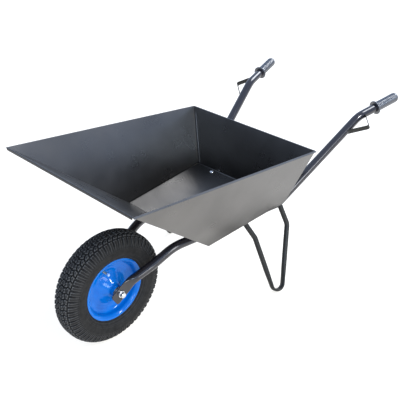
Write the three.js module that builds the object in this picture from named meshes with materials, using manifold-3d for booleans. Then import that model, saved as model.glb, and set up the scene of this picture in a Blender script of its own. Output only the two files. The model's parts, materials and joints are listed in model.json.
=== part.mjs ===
// A single-wheel builder's barrow: an open sheet-steel tray on two bent handle tubes,
// two V legs, a pneumatic wheel in the forked tube ends, knuckle guards and ribbed grips.
//
// Millimetres, +Z up. Heights are measured from the ground. Inside the model the x
// coordinate is measured from the wheel's axle and grows towards the grips; the outer
// group then moves everything so that the origin is under the middle of the barrow.
// Left and right are those of a person who stands between the grips and faces the wheel,
// so that +Y is the right side.

import * as THREE from 'three';
import { mergeVertices } from 'three/addons/utils/BufferGeometryUtils.js';
import Module from 'manifold-3d';

const wasm = await Module();
wasm.setup();

// ---------------------------------------------------------------- driving dimensions

const GAP = 0.3; // play between pieces that touch
const GRIP_END_X = 1217; // rear end of the grips, from the axle

// wheel
const TYRE_R = 200;
const TYRE_HALF_WIDTH = 48;
const RIM_FLANGE_R = 114;
const RIM_FACE = 35; // half width over the rim flanges
const BEAD_SEAT_R = 101;
const RIM_SHEET = 2;
const HUB_HALF = 46;
const HUB_R = 20;
const BEARING_R = 16;
const BEARING_WIDTH = 10;
const RACE_SPLIT_R = 9.2; // where the inner race ends and the outer race begins
const AXLE_R = 6;

// handle tubes: each one lies in its own upright plane, which opens towards the grips
const TUBE_R = 16;
const TUBE_WALL = 1.5;
const FORK_HALF = 54.2; // plane's distance from the middle at the axle
const SPLAY = Math.atan(0.2064); // plane's angle to the long axis
const TUBE_LEVEL = 289.5; // centre height of the level stretch under the tray
const PLATE_TILT = THREE.MathUtils.degToRad(29); // slope of the flattened front end
const PLATE_HALF_WIDTH = 24.5;
const PLATE_HALF_THICK = 2;
const PLATE_OUT = 64; // distance of the flattened end from the middle
const PLATE_AHEAD = 30; // plate reaches this far in front of the axle bolt

// tray: inside faces, given at the four corners of one side
const SHEET = 1.2;
const FLOOR_Z = TUBE_LEVEL + TUBE_R + 3.2; // underside of the floor sheet
const FLOOR_FRONT_X = 276;
const FLOOR_BACK_X = 656;
const FLOOR_CREASE = { x: 600, rise: 0.25 }; // behind it the floor climbs a little
const RIM_FRONT = { x: -100, z: 654.5 };
const RIM_BACK = { x: 720, z: 513 };
const FLOOR_HALF = 200.8; // half width of the floor at its front edge
const SIDE_TAPER = 0.0467; // half width gained per millimetre of x
const SIDE_FLARE = 0.356; // half width gained per millimetre of height
const FRONT_LIP = 7.5;
const BACK_LIP = 9;
const SIDE_FLANGE = 7;
const SIDE_SKIRT = 3; // side walls reach this far below the floor sheet

// legs: bent tube in a plane through the handle tube, leaning outwards
const LEG_R = 9.5;
const LEG_WALL = 1.5;
const LEG_LEAN = THREE.MathUtils.degToRad(23.4);
const LEG_FRONT_TOP = 503; // distances along the handle tube from the axle
const LEG_FRONT_KNEE = 536;
const LEG_REAR_KNEE = 685;
const LEG_REAR_TOP = 673;
const LEG_FOOT = 562.5;
const LEG_KNEE_DROP = 88;
const FOOT_R = 25;
const FOOT_FLAT = 0.55; // the tube's thickness left inside the tight foot bend
const FOOT_WIDEN = 1.22;

// knuckle guards, grips
const STRIP_THICK = 3;
const STRIP_WIDTH = 19;
const GUARD_FRONT_X = 962; // where the strip leaves the tube
const GUARD_APEX_X = 1024;
const GUARD_REAR_X = 1052;
const GUARD_OUT = 62; // apex distance from the handle tube's centre
const GUARD_ROOT = 8; // the strip's ends start this far out, inside the tube's skin
const GUARD_APEX_R = 8;
const GRIP_R = 18.5;
const GRIP_FLANGE_R = 27;
const GRIP_LENGTH = 112;

// cross members and their bolts
const BAR_THICK = 5;
const BAR_LENGTH = 420; // before its ends are cut at the tubes
const FRONT_BAR = { x: 330, width: 30 };
const REAR_BAR = { x: 637, width: 40 };
const BOLT_Y = 129;
const FLOOR_BOLT_R = 4;

// ---------------------------------------------------------------- materials

const paint = (color, roughness, metalness = 0.35) =>
  new THREE.MeshStandardMaterial({ color, roughness, metalness });

const TRAY_PAINT = paint(0x4a4b4d, 0.42);
const FRAME_PAINT = paint(0x1d1f26, 0.25);
const LEG_PAINT = paint(0x2a2a27, 0.5);
const RIM_PAINT = paint(0x1468e0, 0.22);
const RUBBER = paint(0x1f1f1f, 0.85, 0);
const GRIP_PLASTIC = paint(0x15161a, 0.45, 0);
const ZINC = paint(0xc4c6c8, 0.3, 0.9);
const BRASS = paint(0xb08d4a, 0.35, 0.9);

// ---------------------------------------------------------------- solids and booleans

// One closed shell with shared vertices and its faces pointing outwards.
function closed(geometry) {
  geometry.deleteAttribute('normal');
  geometry.deleteAttribute('uv');
  geometry.clearGroups();
  const merged = mergeVertices(geometry, 1e-4);
  const position = merged.attributes.position;
  const source = merged.index.array;
  const kept = [];
  const a = new THREE.Vector3();
  const b = new THREE.Vector3();
  const c = new THREE.Vector3();
  let volume = 0;
  for (let i = 0; i < source.length; i += 3) {
    const [p, q, r] = [source[i], source[i + 1], source[i + 2]];
    if (p === q || q === r || r === p) continue;
    kept.push(p, q, r);
    a.fromBufferAttribute(position, p);
    b.fromBufferAttribute(position, q);
    c.fromBufferAttribute(position, r);
    volume += a.dot(b.cross(c));
  }
  if (volume < 0) kept.reverse();
  merged.setIndex(kept);
  return merged;
}

function toManifold(geometry) {
  const shell = closed(geometry);
  return new wasm.Manifold(new wasm.Mesh({
    numProp: 3,
    vertProperties: Float32Array.from(shell.attributes.position.array),
    triVerts: Uint32Array.from(shell.index.array),
  }));
}

function toGeometry(manifold) {
  const { vertProperties, triVerts } = manifold.getMesh();
  const geometry = new THREE.BufferGeometry();
  geometry.setAttribute('position', new THREE.BufferAttribute(vertProperties, 3));
  geometry.setIndex(new THREE.BufferAttribute(triVerts, 1));
  return geometry;
}

function carve(geometry, cutters) {
  const solid = cutters.reduce((rest, cutter) => rest.subtract(toManifold(cutter)), toManifold(geometry));
  return toGeometry(solid);
}

const mirrored = (geometry) => closed(geometry.clone().scale(1, -1, 1));

// A cylinder from y = from to y = to around an axis parallel to Y.
function crossPin(radius, from, to, sides = 16) {
  const pin = new THREE.CylinderGeometry(radius, radius, to - from, sides);
  return pin.translate(0, (from + to) / 2, 0);
}

// A cylinder from z = from to z = to around an axis parallel to Z.
function uprightPin(radius, from, to, sides = 12) {
  const pin = new THREE.CylinderGeometry(radius, radius, to - from, sides);
  return pin.rotateX(Math.PI / 2).translate(0, 0, (from + to) / 2);
}

// A turned piece around Y, from [radius, y] pairs. A ring's outline closes on itself.
function turned(outline, sides, ring = false) {
  const points = outline.map(([radius, y]) => new THREE.Vector2(radius, y));
  if (ring) points.push(points[0].clone());
  return closed(new THREE.LatheGeometry(points, sides));
}

// A flat outline of [u, v] pairs pushed by depth, then carried into space by three axes.
function plateFrom(outline, depth, origin, uAxis, vAxis) {
  const shape = new THREE.Shape(outline.map(([u, v]) => new THREE.Vector2(u, v)));
  const geometry = new THREE.ExtrudeGeometry(shape, { depth, bevelEnabled: false });
  const matrix = new THREE.Matrix4().makeBasis(uAxis, vAxis, uAxis.clone().cross(vAxis));
  return geometry.applyMatrix4(matrix.setPosition(origin));
}

// A bent bar's centre line: straight runs between corners, each corner rounded with its
// own radius. All points lie in one plane, whose normal is the section's second axis.
class Route extends THREE.Curve {
  constructor(corners, radii, planeNormal, arcSteps = 4) {
    super();
    this.planeNormal = planeNormal.clone().normalize();
    this.stations = [corners[0]];
    for (let i = 1; i < corners.length - 1; i++) {
      this.stations.push(...this.bend(corners[i - 1], corners[i], corners[i + 1], radii[i - 1], arcSteps));
    }
    this.stations.push(corners.at(-1));
  }

  bend(before, corner, after, radius, arcSteps) {
    if (!radius) return [corner];
    const back = before.clone().sub(corner).normalize();
    const on = after.clone().sub(corner).normalize();
    const half = back.angleTo(on) / 2;
    const centre = corner.clone().add(back.clone().add(on).setLength(radius / Math.sin(half)));
    const first = corner.clone().addScaledVector(back, radius / Math.tan(half)).sub(centre);
    const last = corner.clone().addScaledVector(on, radius / Math.tan(half)).sub(centre);
    const axis = first.clone().cross(last).normalize();
    const turn = first.angleTo(last);
    return Array.from({ length: arcSteps + 1 }, (_, i) =>
      first.clone().applyAxisAngle(axis, (turn * i) / arcSteps).add(centre));
  }

  get steps() {
    return this.stations.length - 1;
  }

  getPointAt(u) {
    return this.stations[Math.round(u * this.steps)].clone();
  }

  tangentAt(i) {
    const here = this.stations[i];
    const on = this.stations[Math.min(i + 1, this.steps)].clone().sub(here).normalize();
    const back = here.clone().sub(this.stations[Math.max(i - 1, 0)]).normalize();
    return on.add(back).normalize();
  }

  computeFrenetFrames() {
    const tangents = this.stations.map((_, i) => this.tangentAt(i));
    const normals = tangents.map((tangent) => this.planeNormal.clone().cross(tangent));
    return { tangents, normals, binormals: tangents.map(() => this.planeNormal) };
  }
}

function swept(route, shape, curveSegments = 4) {
  const options = { steps: route.steps, extrudePath: route, curveSegments };
  return new THREE.ExtrudeGeometry(shape, options);
}

function roundSection(radius, sides) {
  const points = Array.from({ length: sides }, (_, i) => {
    const angle = (2 * Math.PI * (i + 0.5)) / sides;
    return new THREE.Vector2(radius * Math.cos(angle), radius * Math.sin(angle));
  });
  return new THREE.Shape(points);
}

const ringSection = (radius, wall, sides, innerSides) => {
  const section = roundSection(radius, sides);
  section.holes.push(roundSection(radius - wall, innerSides));
  return section;
};

const smooth = (value, low, high) => THREE.MathUtils.smoothstep(value, low, high);

// ---------------------------------------------------------------- the model's groups

const barrow = new THREE.Group();

// Each side's own frame: X runs along the handle tube's plane, Y points outwards.
const sides = [
  { name: 'right', sign: 1 },
  { name: 'left', sign: -1 },
].map((side) => {
  const frame = new THREE.Group();
  frame.position.y = side.sign * FORK_HALF;
  frame.rotation.z = side.sign * SPLAY;
  barrow.add(frame);
  return { ...side, frame };
});

function add(parent, name, geometry, material) {
  const mesh = new THREE.Mesh(closed(geometry), material);
  mesh.name = name;
  parent.add(mesh);
  return mesh;
}

// The same piece on both sides, drawn for the +Y one.
function addPair(inSideFrame, name, geometry, material) {
  for (const side of sides) {
    const own = side.sign > 0 ? geometry.clone() : mirrored(geometry);
    add(inSideFrame ? side.frame : barrow, `${name}_${side.name}`, own, material);
  }
}

// ---------------------------------------------------------------- handle tubes

const along = (x) => x / Math.cos(SPLAY); // x measured along the tube's plane
const inPlane = (x, z) => new THREE.Vector3(along(x), 0, z);
const sideways = new THREE.Vector3(0, 1, 0);

const AXLE_Z = TYRE_R;
const PLATE_RISE = Math.tan(PLATE_TILT);
const REAR_BEND = { x: 655, rise: 0.63 };
const GRIP_BEND = { x: 1026, rise: 0.141 };
const tubeHeight = (x) => TUBE_LEVEL + REAR_BEND.rise * (x - REAR_BEND.x);
const gripHeight = (x) => tubeHeight(GRIP_BEND.x) + GRIP_BEND.rise * (x - GRIP_BEND.x);

const TUBE_END_X = GRIP_END_X - 6;
const plateStart = inPlane(-PLATE_AHEAD * Math.cos(PLATE_TILT), AXLE_Z - PLATE_AHEAD * Math.sin(PLATE_TILT));
const platePoint = (x) => inPlane(x, AXLE_Z + PLATE_RISE * x);
const tubeCorners = [
  plateStart,
  platePoint(-14),
  platePoint(10),
  platePoint(22),
  platePoint(35),
  platePoint(48),
  inPlane(66, 232.3),
  inPlane(130, 252.5),
  inPlane(214, TUBE_LEVEL),
  inPlane(REAR_BEND.x, TUBE_LEVEL),
  inPlane(GRIP_BEND.x, tubeHeight(GRIP_BEND.x)),
  inPlane(TUBE_END_X, gripHeight(TUBE_END_X)),
];
const tubeRadii = [0, 0, 0, 0, 0, 0, 200, 150, 60, 100];
const tubeRoute = new Route(tubeCorners, tubeRadii, sideways);

// Presses the front end of the tube flat and sets it parallel to the wheel.
function pressedFlat(geometry) {
  const position = geometry.attributes.position;
  const axis = new THREE.Vector3(Math.cos(PLATE_TILT), 0, Math.sin(PLATE_TILT));
  const across = new THREE.Vector3(-axis.z, 0, axis.x);
  const bolt = inPlane(0, AXLE_Z);
  const point = new THREE.Vector3();
  const straighten = (PLATE_OUT - FORK_HALF) / Math.sin(SPLAY);
  for (let i = 0; i < position.count; i++) {
    point.fromBufferAttribute(position, i).sub(bolt);
    const reach = point.dot(axis);
    if (reach < 82) {
      const roundness = smooth(reach, 30, 80);
      const height = point.dot(across);
      const bearing = Math.atan2(point.y, height);
      const flatHeight = PLATE_HALF_WIDTH * Math.cos(bearing);
      const flatOut = PLATE_HALF_THICK * THREE.MathUtils.clamp(3 * Math.sin(bearing), -1, 1);
      const newHeight = THREE.MathUtils.lerp(flatHeight, height, roundness);
      point.addScaledVector(across, newHeight - height);
      const ahead = Math.max(0, straighten - point.x);
      point.y = THREE.MathUtils.lerp(flatOut, point.y, roundness) + ahead * Math.tan(SPLAY);
    }
    point.add(bolt);
    position.setXYZ(i, point.x, point.y, point.z);
  }
  return geometry;
}

function handleTube() {
  const outer = pressedFlat(closed(swept(tubeRoute, roundSection(TUBE_R, 16))));
  const boreStart = inPlane(78, 236.1);
  const boreEnd = inPlane(TUBE_END_X + 10, gripHeight(TUBE_END_X + 10));
  const boreCorners = [boreStart, ...tubeCorners.slice(7, -1), boreEnd];
  const boreRoute = new Route(boreCorners, tubeRadii.slice(6), sideways);
  const bore = swept(boreRoute, roundSection(TUBE_R - TUBE_WALL, 10));
  const boltHole = crossPin(AXLE_R + GAP, -30, 30).translate(0, 0, AXLE_Z);
  boltHole.rotateZ(-SPLAY);
  return carve(outer, [bore, boltHole]);
}

// The room that the tube takes, with play, for pieces that are cut to meet it.
const tubeRoom = () => swept(
  new Route(tubeCorners.slice(6), tubeRadii.slice(6), sideways),
  roundSection(TUBE_R + GAP, 16),
);

addPair(true, 'handle_tube', handleTube(), FRAME_PAINT);

// ---------------------------------------------------------------- legs

// A point of the leg's leaning plane: distance along the tube and drop below its centre.
const legDown = new THREE.Vector3(0, Math.sin(LEG_LEAN), -Math.cos(LEG_LEAN));
const legPoint = (reach, drop) =>
  new THREE.Vector3(reach, 0, TUBE_LEVEL).addScaledVector(legDown, drop);
const legNormal = new THREE.Vector3(1, 0, 0).cross(legDown);

// The V's arms would meet here; the foot bend rounds the corner off above it.
function footCornerDrop() {
  const halfHeight = LEG_R * FOOT_FLAT * Math.cos(LEG_LEAN);
  const halfWidth = LEG_R * FOOT_WIDEN * Math.sin(LEG_LEAN);
  const lowestCentre = (TUBE_LEVEL - Math.hypot(halfHeight, halfWidth)) / Math.cos(LEG_LEAN);
  let corner = lowestCentre + 80;
  for (let pass = 0; pass < 6; pass++) {
    const foot = legPoint(LEG_FOOT, corner);
    const front = legPoint(LEG_FRONT_KNEE, LEG_KNEE_DROP).sub(foot);
    const rear = legPoint(LEG_REAR_KNEE, LEG_KNEE_DROP).sub(foot);
    const half = front.angleTo(rear) / 2;
    const lean = front.normalize().add(rear.normalize()).normalize();
    const centreDrop = corner + lean.dot(legDown) * (FOOT_R / Math.sin(half));
    corner += lowestCentre - (centreDrop + FOOT_R);
  }
  return corner;
}

function leg() {
  const corners = [
    legPoint(LEG_FRONT_TOP, 4),
    legPoint(LEG_FRONT_KNEE, LEG_KNEE_DROP),
    legPoint(LEG_FOOT, footCornerDrop()),
    legPoint(LEG_REAR_KNEE, LEG_KNEE_DROP),
    legPoint(LEG_REAR_TOP, 2),
  ];
  const route = new Route(corners, [34, FOOT_R, 34], legNormal, 6);
  const bar = closed(swept(route, ringSection(LEG_R, LEG_WALL, 12, 8)));
  flattenFoot(bar, route);
  return carve(bar, [tubeRoom()]);
}

// The tight foot bend squeezes the tube: thinner in the leg's plane and wider across it.
function flattenFoot(bar, route) {
  const position = bar.attributes.position;
  const point = new THREE.Vector3();
  const lowest = Math.max(...route.stations.map((station) => dropOf(station)));
  for (let i = 0; i < position.count; i++) {
    point.fromBufferAttribute(position, i);
    const station = nearestStation(route, point);
    const squeeze = smooth(dropOf(station.centre), lowest - 95, lowest - 18);
    const offset = point.sub(station.centre);
    const wide = legNormal.clone().multiplyScalar(offset.dot(legNormal));
    const inside = offset.clone().sub(wide);
    inside.multiplyScalar(THREE.MathUtils.lerp(1, FOOT_FLAT, squeeze));
    wide.multiplyScalar(THREE.MathUtils.lerp(1, FOOT_WIDEN, squeeze));
    point.copy(station.centre).add(inside).add(wide);
    position.setXYZ(i, point.x, point.y, point.z);
  }
}

const dropOf = (place) => place.clone().sub(legPoint(0, 0)).dot(legDown);

// The station whose cross-section plane holds the point.
function nearestStation(route, point) {
  let best = null;
  route.stations.forEach((centre, i) => {
    const offset = point.clone().sub(centre);
    const miss = Math.abs(offset.dot(route.tangentAt(i)));
    const score = miss * 50 + offset.length();
    if (!best || score < best.score) best = { centre, score };
  });
  return best;
}

addPair(true, 'leg', leg(), LEG_PAINT);

// ---------------------------------------------------------------- tray

// Half width of the tray's inside at a point of its long section.
const trayHalf = (x, z) => FLOOR_HALF + SIDE_TAPER * (x - FLOOR_FRONT_X) + SIDE_FLARE * (z - FLOOR_Z);

// The long section of the folded pan: front lip, front wall, floor, back wall, back lip.
function panSection() {
  const front = new THREE.Vector2(RIM_FRONT.x - FLOOR_FRONT_X, RIM_FRONT.z - FLOOR_Z);
  const back = new THREE.Vector2(RIM_BACK.x - FLOOR_BACK_X, RIM_BACK.z - FLOOR_Z);
  const frontUnit = front.clone().normalize();
  const backUnit = back.clone().normalize();
  const lip = SHEET * 1.6;
  return [
    [RIM_FRONT.x - lip, RIM_FRONT.z - FRONT_LIP],
    [RIM_FRONT.x - lip, RIM_FRONT.z + 1],
    [RIM_FRONT.x + 1, RIM_FRONT.z + 1.6],
    ...foldedCorner(FLOOR_FRONT_X, frontUnit, 1, SHEET),
    [FLOOR_CREASE.x, FLOOR_Z + SHEET],
    ...foldedCorner(FLOOR_BACK_X, backUnit, -1, SHEET),
    [RIM_BACK.x - SHEET * 0.9, RIM_BACK.z + SHEET],
    [RIM_BACK.x + lip + SHEET, RIM_BACK.z + SHEET * 0.6],
    [RIM_BACK.x + lip + SHEET, RIM_BACK.z - BACK_LIP],
    [RIM_BACK.x + lip, RIM_BACK.z - BACK_LIP],
    [RIM_BACK.x + lip, RIM_BACK.z - SHEET],
    [RIM_BACK.x + 0.2, RIM_BACK.z - SHEET],
    ...foldedCorner(FLOOR_BACK_X, backUnit, -1, 0).reverse(),
    [FLOOR_CREASE.x, FLOOR_Z],
    ...foldedCorner(FLOOR_FRONT_X, frontUnit, 1, 0).reverse(),
    [RIM_FRONT.x + 1.2, RIM_FRONT.z - 1.6],
    [RIM_FRONT.x - lip + SHEET * 0.8, RIM_FRONT.z - 1.8],
    [RIM_FRONT.x - lip + SHEET * 0.8, RIM_FRONT.z - FRONT_LIP],
  ];
}

// Points of a rounded fold between a wall that rises along unit and the floor.
// depth is 0 on the sheet's underside and the sheet's thickness on its upper side.
function foldedCorner(x, unit, towardsFloor, depth) {
  const outerRadius = 6;
  const radius = outerRadius - depth;
  const open = Math.acos(unit.x * towardsFloor); // angle between wall and floor
  const set = outerRadius / Math.tan(open / 2);
  const level = towardsFloor > 0 ? FLOOR_Z : FLOOR_Z + FLOOR_CREASE.rise;
  const centre = new THREE.Vector2(x + towardsFloor * set, level + outerRadius);
  const turn = Math.PI - open;
  const steps = 3;
  const points = [];
  for (let i = steps; i >= 0; i--) {
    const angle = (turn * i) / steps;
    points.push([
      centre.x - towardsFloor * radius * Math.sin(angle),
      centre.y - radius * Math.cos(angle),
    ]);
  }
  return towardsFloor > 0 ? points : points.reverse();
}

const xAxis = new THREE.Vector3(1, 0, 0);
const zAxis = new THREE.Vector3(0, 0, 1);

// Everything inside the two side planes, moved inwards by play.
function betweenSides(play) {
  const corner = (x, z) => trayHalf(x, z) - play;
  const [x0, x1, z0, z1] = [-200, 800, 250, 750];
  const points = [[x0, z0], [x1, z0], [x1, z1], [x0, z1]].flatMap(([x, z]) => [
    new THREE.Vector3(x, corner(x, z), z),
    new THREE.Vector3(x, -corner(x, z), z),
  ]);
  const geometry = new THREE.BoxGeometry(1, 1, 1);
  const position = geometry.attributes.position;
  for (let i = 0; i < position.count; i++) {
    const column = position.getX(i) < 0 ? 0 : 1;
    const row = position.getZ(i) < 0 ? 0 : 1;
    const index = (row ? (column ? 2 : 3) : column) * 2 + (position.getY(i) > 0 ? 0 : 1);
    const { x, y, z } = points[index];
    position.setXYZ(i, x, y, z);
  }
  return geometry;
}

const trayBoltHole = (sign) =>
  uprightPin(FLOOR_BOLT_R + GAP, FLOOR_Z - 30, FLOOR_Z + 20).translate(REAR_BAR.x, sign * BOLT_Y, 0);

function trayPan() {
  const halfWidth = 400;
  const origin = new THREE.Vector3(0, halfWidth, 0);
  const sheet = plateFrom(panSection(), halfWidth * 2, origin, xAxis, zAxis);
  const trimmed = toManifold(sheet).intersect(toManifold(betweenSides(GAP)));
  return carve(toGeometry(trimmed), [trayBoltHole(1), trayBoltHole(-1)]);
}

// One side wall: a flat sheet outside the pan, with its rim folded out into a flange.
function traySide() {
  const at = (x, z, out = 0) => new THREE.Vector3(x, trayHalf(x, z) + out, z);
  const origin = at(FLOOR_FRONT_X, FLOOR_Z);
  const uAxis = at(FLOOR_FRONT_X + 100, FLOOR_Z).sub(origin).normalize();
  const rise = at(FLOOR_FRONT_X, FLOOR_Z + 100).sub(origin);
  const vAxis = rise.clone().addScaledVector(uAxis, -rise.dot(uAxis)).normalize();
  const outline = [
    at(FLOOR_FRONT_X + 2, FLOOR_Z - SIDE_SKIRT),
    at(FLOOR_BACK_X + 1, FLOOR_Z - SIDE_SKIRT),
    at(RIM_BACK.x + SHEET, RIM_BACK.z + SHEET),
    at(RIM_FRONT.x - SHEET, RIM_FRONT.z + SHEET),
  ].map((corner) => {
    const offset = corner.sub(origin);
    return [offset.dot(uAxis), offset.dot(vAxis)];
  });
  const wall = plateFrom(outline, -SHEET, origin, uAxis, vAxis);
  return toGeometry(toManifold(wall).add(toManifold(rimFlange(at))));
}

// The flange: a thin strip that runs outwards from the rim and droops a little.
function rimFlange(at) {
  const droop = 2;
  const frontPoint = { x: RIM_FRONT.x - SHEET, z: RIM_FRONT.z + SHEET };
  const backPoint = { x: RIM_BACK.x + SHEET, z: RIM_BACK.z + SHEET };
  const ring = ({ x, z }) => [
    at(x, z, 0.2),
    at(x, z, SIDE_FLANGE).setZ(z - droop),
    at(x, z, SIDE_FLANGE).setZ(z - droop - SHEET),
    at(x, z, 0.2).setZ(z - SHEET),
  ];
  const geometry = new THREE.BoxGeometry(1, 1, 1);
  const position = geometry.attributes.position;
  const corners = [ring(frontPoint), ring(backPoint)];
  for (let i = 0; i < position.count; i++) {
    const end = corners[position.getX(i) > 0 ? 1 : 0];
    const outer = position.getY(i) > 0;
    const upper = position.getZ(i) > 0;
    const { x, y, z } = end[upper ? (outer ? 1 : 0) : (outer ? 2 : 3)];
    position.setXYZ(i, x, y, z);
  }
  return geometry;
}

add(barrow, 'tray_pan', trayPan(), TRAY_PAINT);
addPair(false, 'tray_side', traySide(), TRAY_PAINT);

// ---------------------------------------------------------------- cross members and tray bolts

const BAR_TOP = FLOOR_Z - GAP;

// A flat bar from tube to tube, its ends cut along the tubes' planes.
function crossBar({ x, width }, holes) {
  const bar = new THREE.BoxGeometry(width, BAR_LENGTH, BAR_THICK).translate(x, 0, BAR_TOP - BAR_THICK / 2);
  const rooms = sides.map(({ sign }) => {
    const room = sign > 0 ? closed(tubeRoom()) : mirrored(tubeRoom());
    return room.rotateZ(sign * SPLAY).translate(0, sign * FORK_HALF, 0);
  });
  const beyond = sides.map(({ sign }) => {
    const slab = new THREE.BoxGeometry(600, 200, 100).translate(along(x), sign * 100, BAR_TOP);
    return slab.rotateZ(sign * SPLAY).translate(0, sign * FORK_HALF, 0);
  });
  return carve(bar, [...rooms, ...beyond, ...holes]);
}

add(barrow, 'cross_bar_front', crossBar(FRONT_BAR, []), FRAME_PAINT);
add(barrow, 'cross_bar_rear', crossBar(REAR_BAR, [trayBoltHole(1), trayBoltHole(-1)]), FRAME_PAINT);

function hexagon(acrossFlats, from, to) {
  return crossPin(acrossFlats / Math.sqrt(3), from, to, 6);
}

function cupBolt() {
  const headBase = FLOOR_Z + FLOOR_CREASE.rise + SHEET + GAP;
  const shank = FLOOR_BOLT_R;
  const outline = [
    [0, FLOOR_Z - 18], [shank - 0.6, FLOOR_Z - 18], [shank, FLOOR_Z - 17], [shank, headBase],
    [8.6, headBase], [8.3, headBase + 1.6], [6.4, headBase + 3.6], [3.4, headBase + 4.6], [0, headBase + 4.9],
  ];
  return turned(outline, 16).rotateX(Math.PI / 2).translate(REAR_BAR.x, BOLT_Y, 0);
}

function washerRing(inner, outer, from, to, count = 16) {
  return turned([[inner, from], [outer, from], [outer, to], [inner, to]], count, true);
}

const WASHER_TOP = BAR_TOP - BAR_THICK - GAP;
const trayWasher = washerRing(FLOOR_BOLT_R + GAP, 9, WASHER_TOP - 1.6, WASHER_TOP, 16);
const NUT_TOP = WASHER_TOP - 1.6 - GAP;
const trayNut = carve(hexagon(13, NUT_TOP - 6.5, NUT_TOP), [crossPin(FLOOR_BOLT_R + GAP, 250, 350, 16)]);
const upright = (piece) => piece.rotateX(Math.PI / 2).translate(REAR_BAR.x, BOLT_Y, 0);

addPair(false, 'tray_bolt', cupBolt(), ZINC);
addPair(false, 'tray_washer', upright(trayWasher), ZINC);
addPair(false, 'tray_nut', upright(trayNut), ZINC);

// ---------------------------------------------------------------- knuckle guards and grips

// A strip bent to a V beside the tube, lying in the plane of the tube and the outward axis.
function knuckleGuard() {
  const outward = (x, out) => inPlane(x, Math.min(tubeHeight(x), gripHeight(x))).setY(out);
  const corners = [
    outward(GUARD_FRONT_X, GUARD_ROOT),
    outward(GUARD_APEX_X, GUARD_OUT),
    outward(GUARD_REAR_X, GUARD_ROOT),
  ];
  corners[1].z = (corners[0].z + corners[2].z) / 2;
  const normal = corners[2].clone().sub(corners[0]).cross(sideways);
  const route = new Route(corners, [GUARD_APEX_R], normal, 4);
  const section = new THREE.Shape([
    new THREE.Vector2(-STRIP_THICK / 2, -STRIP_WIDTH / 2),
    new THREE.Vector2(STRIP_THICK / 2, -STRIP_WIDTH / 2),
    new THREE.Vector2(STRIP_THICK / 2, STRIP_WIDTH / 2),
    new THREE.Vector2(-STRIP_THICK / 2, STRIP_WIDTH / 2),
  ]);
  const strip = swept(route, section);
  return carve(strip, [tubeRoom()]);
}

addPair(true, 'knuckle_guard', knuckleGuard(), FRAME_PAINT);

// A ribbed sleeve, closed at its rear end, with a round flange at its front end.
function grip() {
  const bore = TUBE_R + GAP;
  const ribs = 7;
  const ribStart = 12;
  const pitch = (GRIP_LENGTH - ribStart - 6) / ribs;
  const outline = [[bore, 0], [GRIP_FLANGE_R - 1.5, 0], [GRIP_FLANGE_R, 1.5], [GRIP_FLANGE_R, 4.5],
    [GRIP_FLANGE_R - 2, 6], [GRIP_R + 1, 8], [GRIP_R - 1, ribStart - 1]];
  for (let i = 0; i < ribs; i++) {
    const start = ribStart + i * pitch;
    outline.push([GRIP_R, start], [GRIP_R, start + pitch * 0.7], [GRIP_R - 1.2, start + pitch * 0.85]);
  }
  outline.push([GRIP_R, GRIP_LENGTH - 5], [GRIP_R - 2, GRIP_LENGTH - 1], [GRIP_R - 5, GRIP_LENGTH]);
  outline.push([0, GRIP_LENGTH], [0, GRIP_LENGTH - 4], [bore, GRIP_LENGTH - 4]);
  const axis = inPlane(1200, gripHeight(1200)).sub(inPlane(1100, gripHeight(1100))).normalize();
  const turn = new THREE.Quaternion().setFromUnitVectors(sideways, axis);
  const rear = inPlane(GRIP_END_X, gripHeight(GRIP_END_X));
  const front = rear.clone().addScaledVector(axis, -GRIP_LENGTH);
  return turned([...outline, [bore, 0]], 18).applyQuaternion(turn).translate(front.x, front.y, front.z);
}

addPair(true, 'grip', grip(), GRIP_PLASTIC);

// ---------------------------------------------------------------- axle

const axleGroup = new THREE.Group();
axleGroup.position.z = AXLE_Z;
barrow.add(axleGroup);

const PLATE_OUTER = PLATE_OUT + PLATE_HALF_THICK;
const PLATE_INNER = PLATE_OUT - PLATE_HALF_THICK;
const WASHER_END = PLATE_OUTER + GAP + 2.5;
const NUT_START = WASHER_END + GAP;
const NUT_END = NUT_START + 9.8;
const HEAD_END = NUT_START + 7.8;
const BEARING_OUT = HUB_HALF - 1;
const BEARING_IN = BEARING_OUT - BEARING_WIDTH;

function axleBolt() {
  const shank = crossPin(AXLE_R, -(NUT_END + 1.5), NUT_START + 1, 20);
  const head = hexagon(18, NUT_START, HEAD_END);
  return toGeometry(toManifold(shank).add(toManifold(head)));
}

const axleClear = AXLE_R + GAP;
add(axleGroup, 'axle_bolt', axleBolt(), ZINC);
add(axleGroup, 'axle_nut', carve(hexagon(18, -NUT_END, -NUT_START), [crossPin(axleClear, -90, -60)]), ZINC);
for (const { name, sign } of sides) {
  const placed = (piece) => (sign > 0 ? piece : mirrored(piece));
  const washer = washerRing(axleClear, 12, PLATE_OUTER + GAP, WASHER_END);
  const spacer = washerRing(axleClear, 9, BEARING_OUT + GAP, PLATE_INNER - GAP);
  const innerRace = washerRing(axleClear, RACE_SPLIT_R, BEARING_IN, BEARING_OUT);
  add(axleGroup, `axle_washer_${name}`, placed(washer), ZINC);
  add(axleGroup, `axle_spacer_${name}`, placed(spacer), ZINC);
  add(axleGroup, `bearing_inner_race_${name}`, placed(innerRace), ZINC);
}
add(axleGroup, 'axle_sleeve', washerRing(axleClear, 9, -(BEARING_IN - GAP), BEARING_IN - GAP), ZINC);

// ---------------------------------------------------------------- wheel

const wheel = new THREE.Group();
wheel.position.z = AXLE_Z;
barrow.add(wheel);

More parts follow.
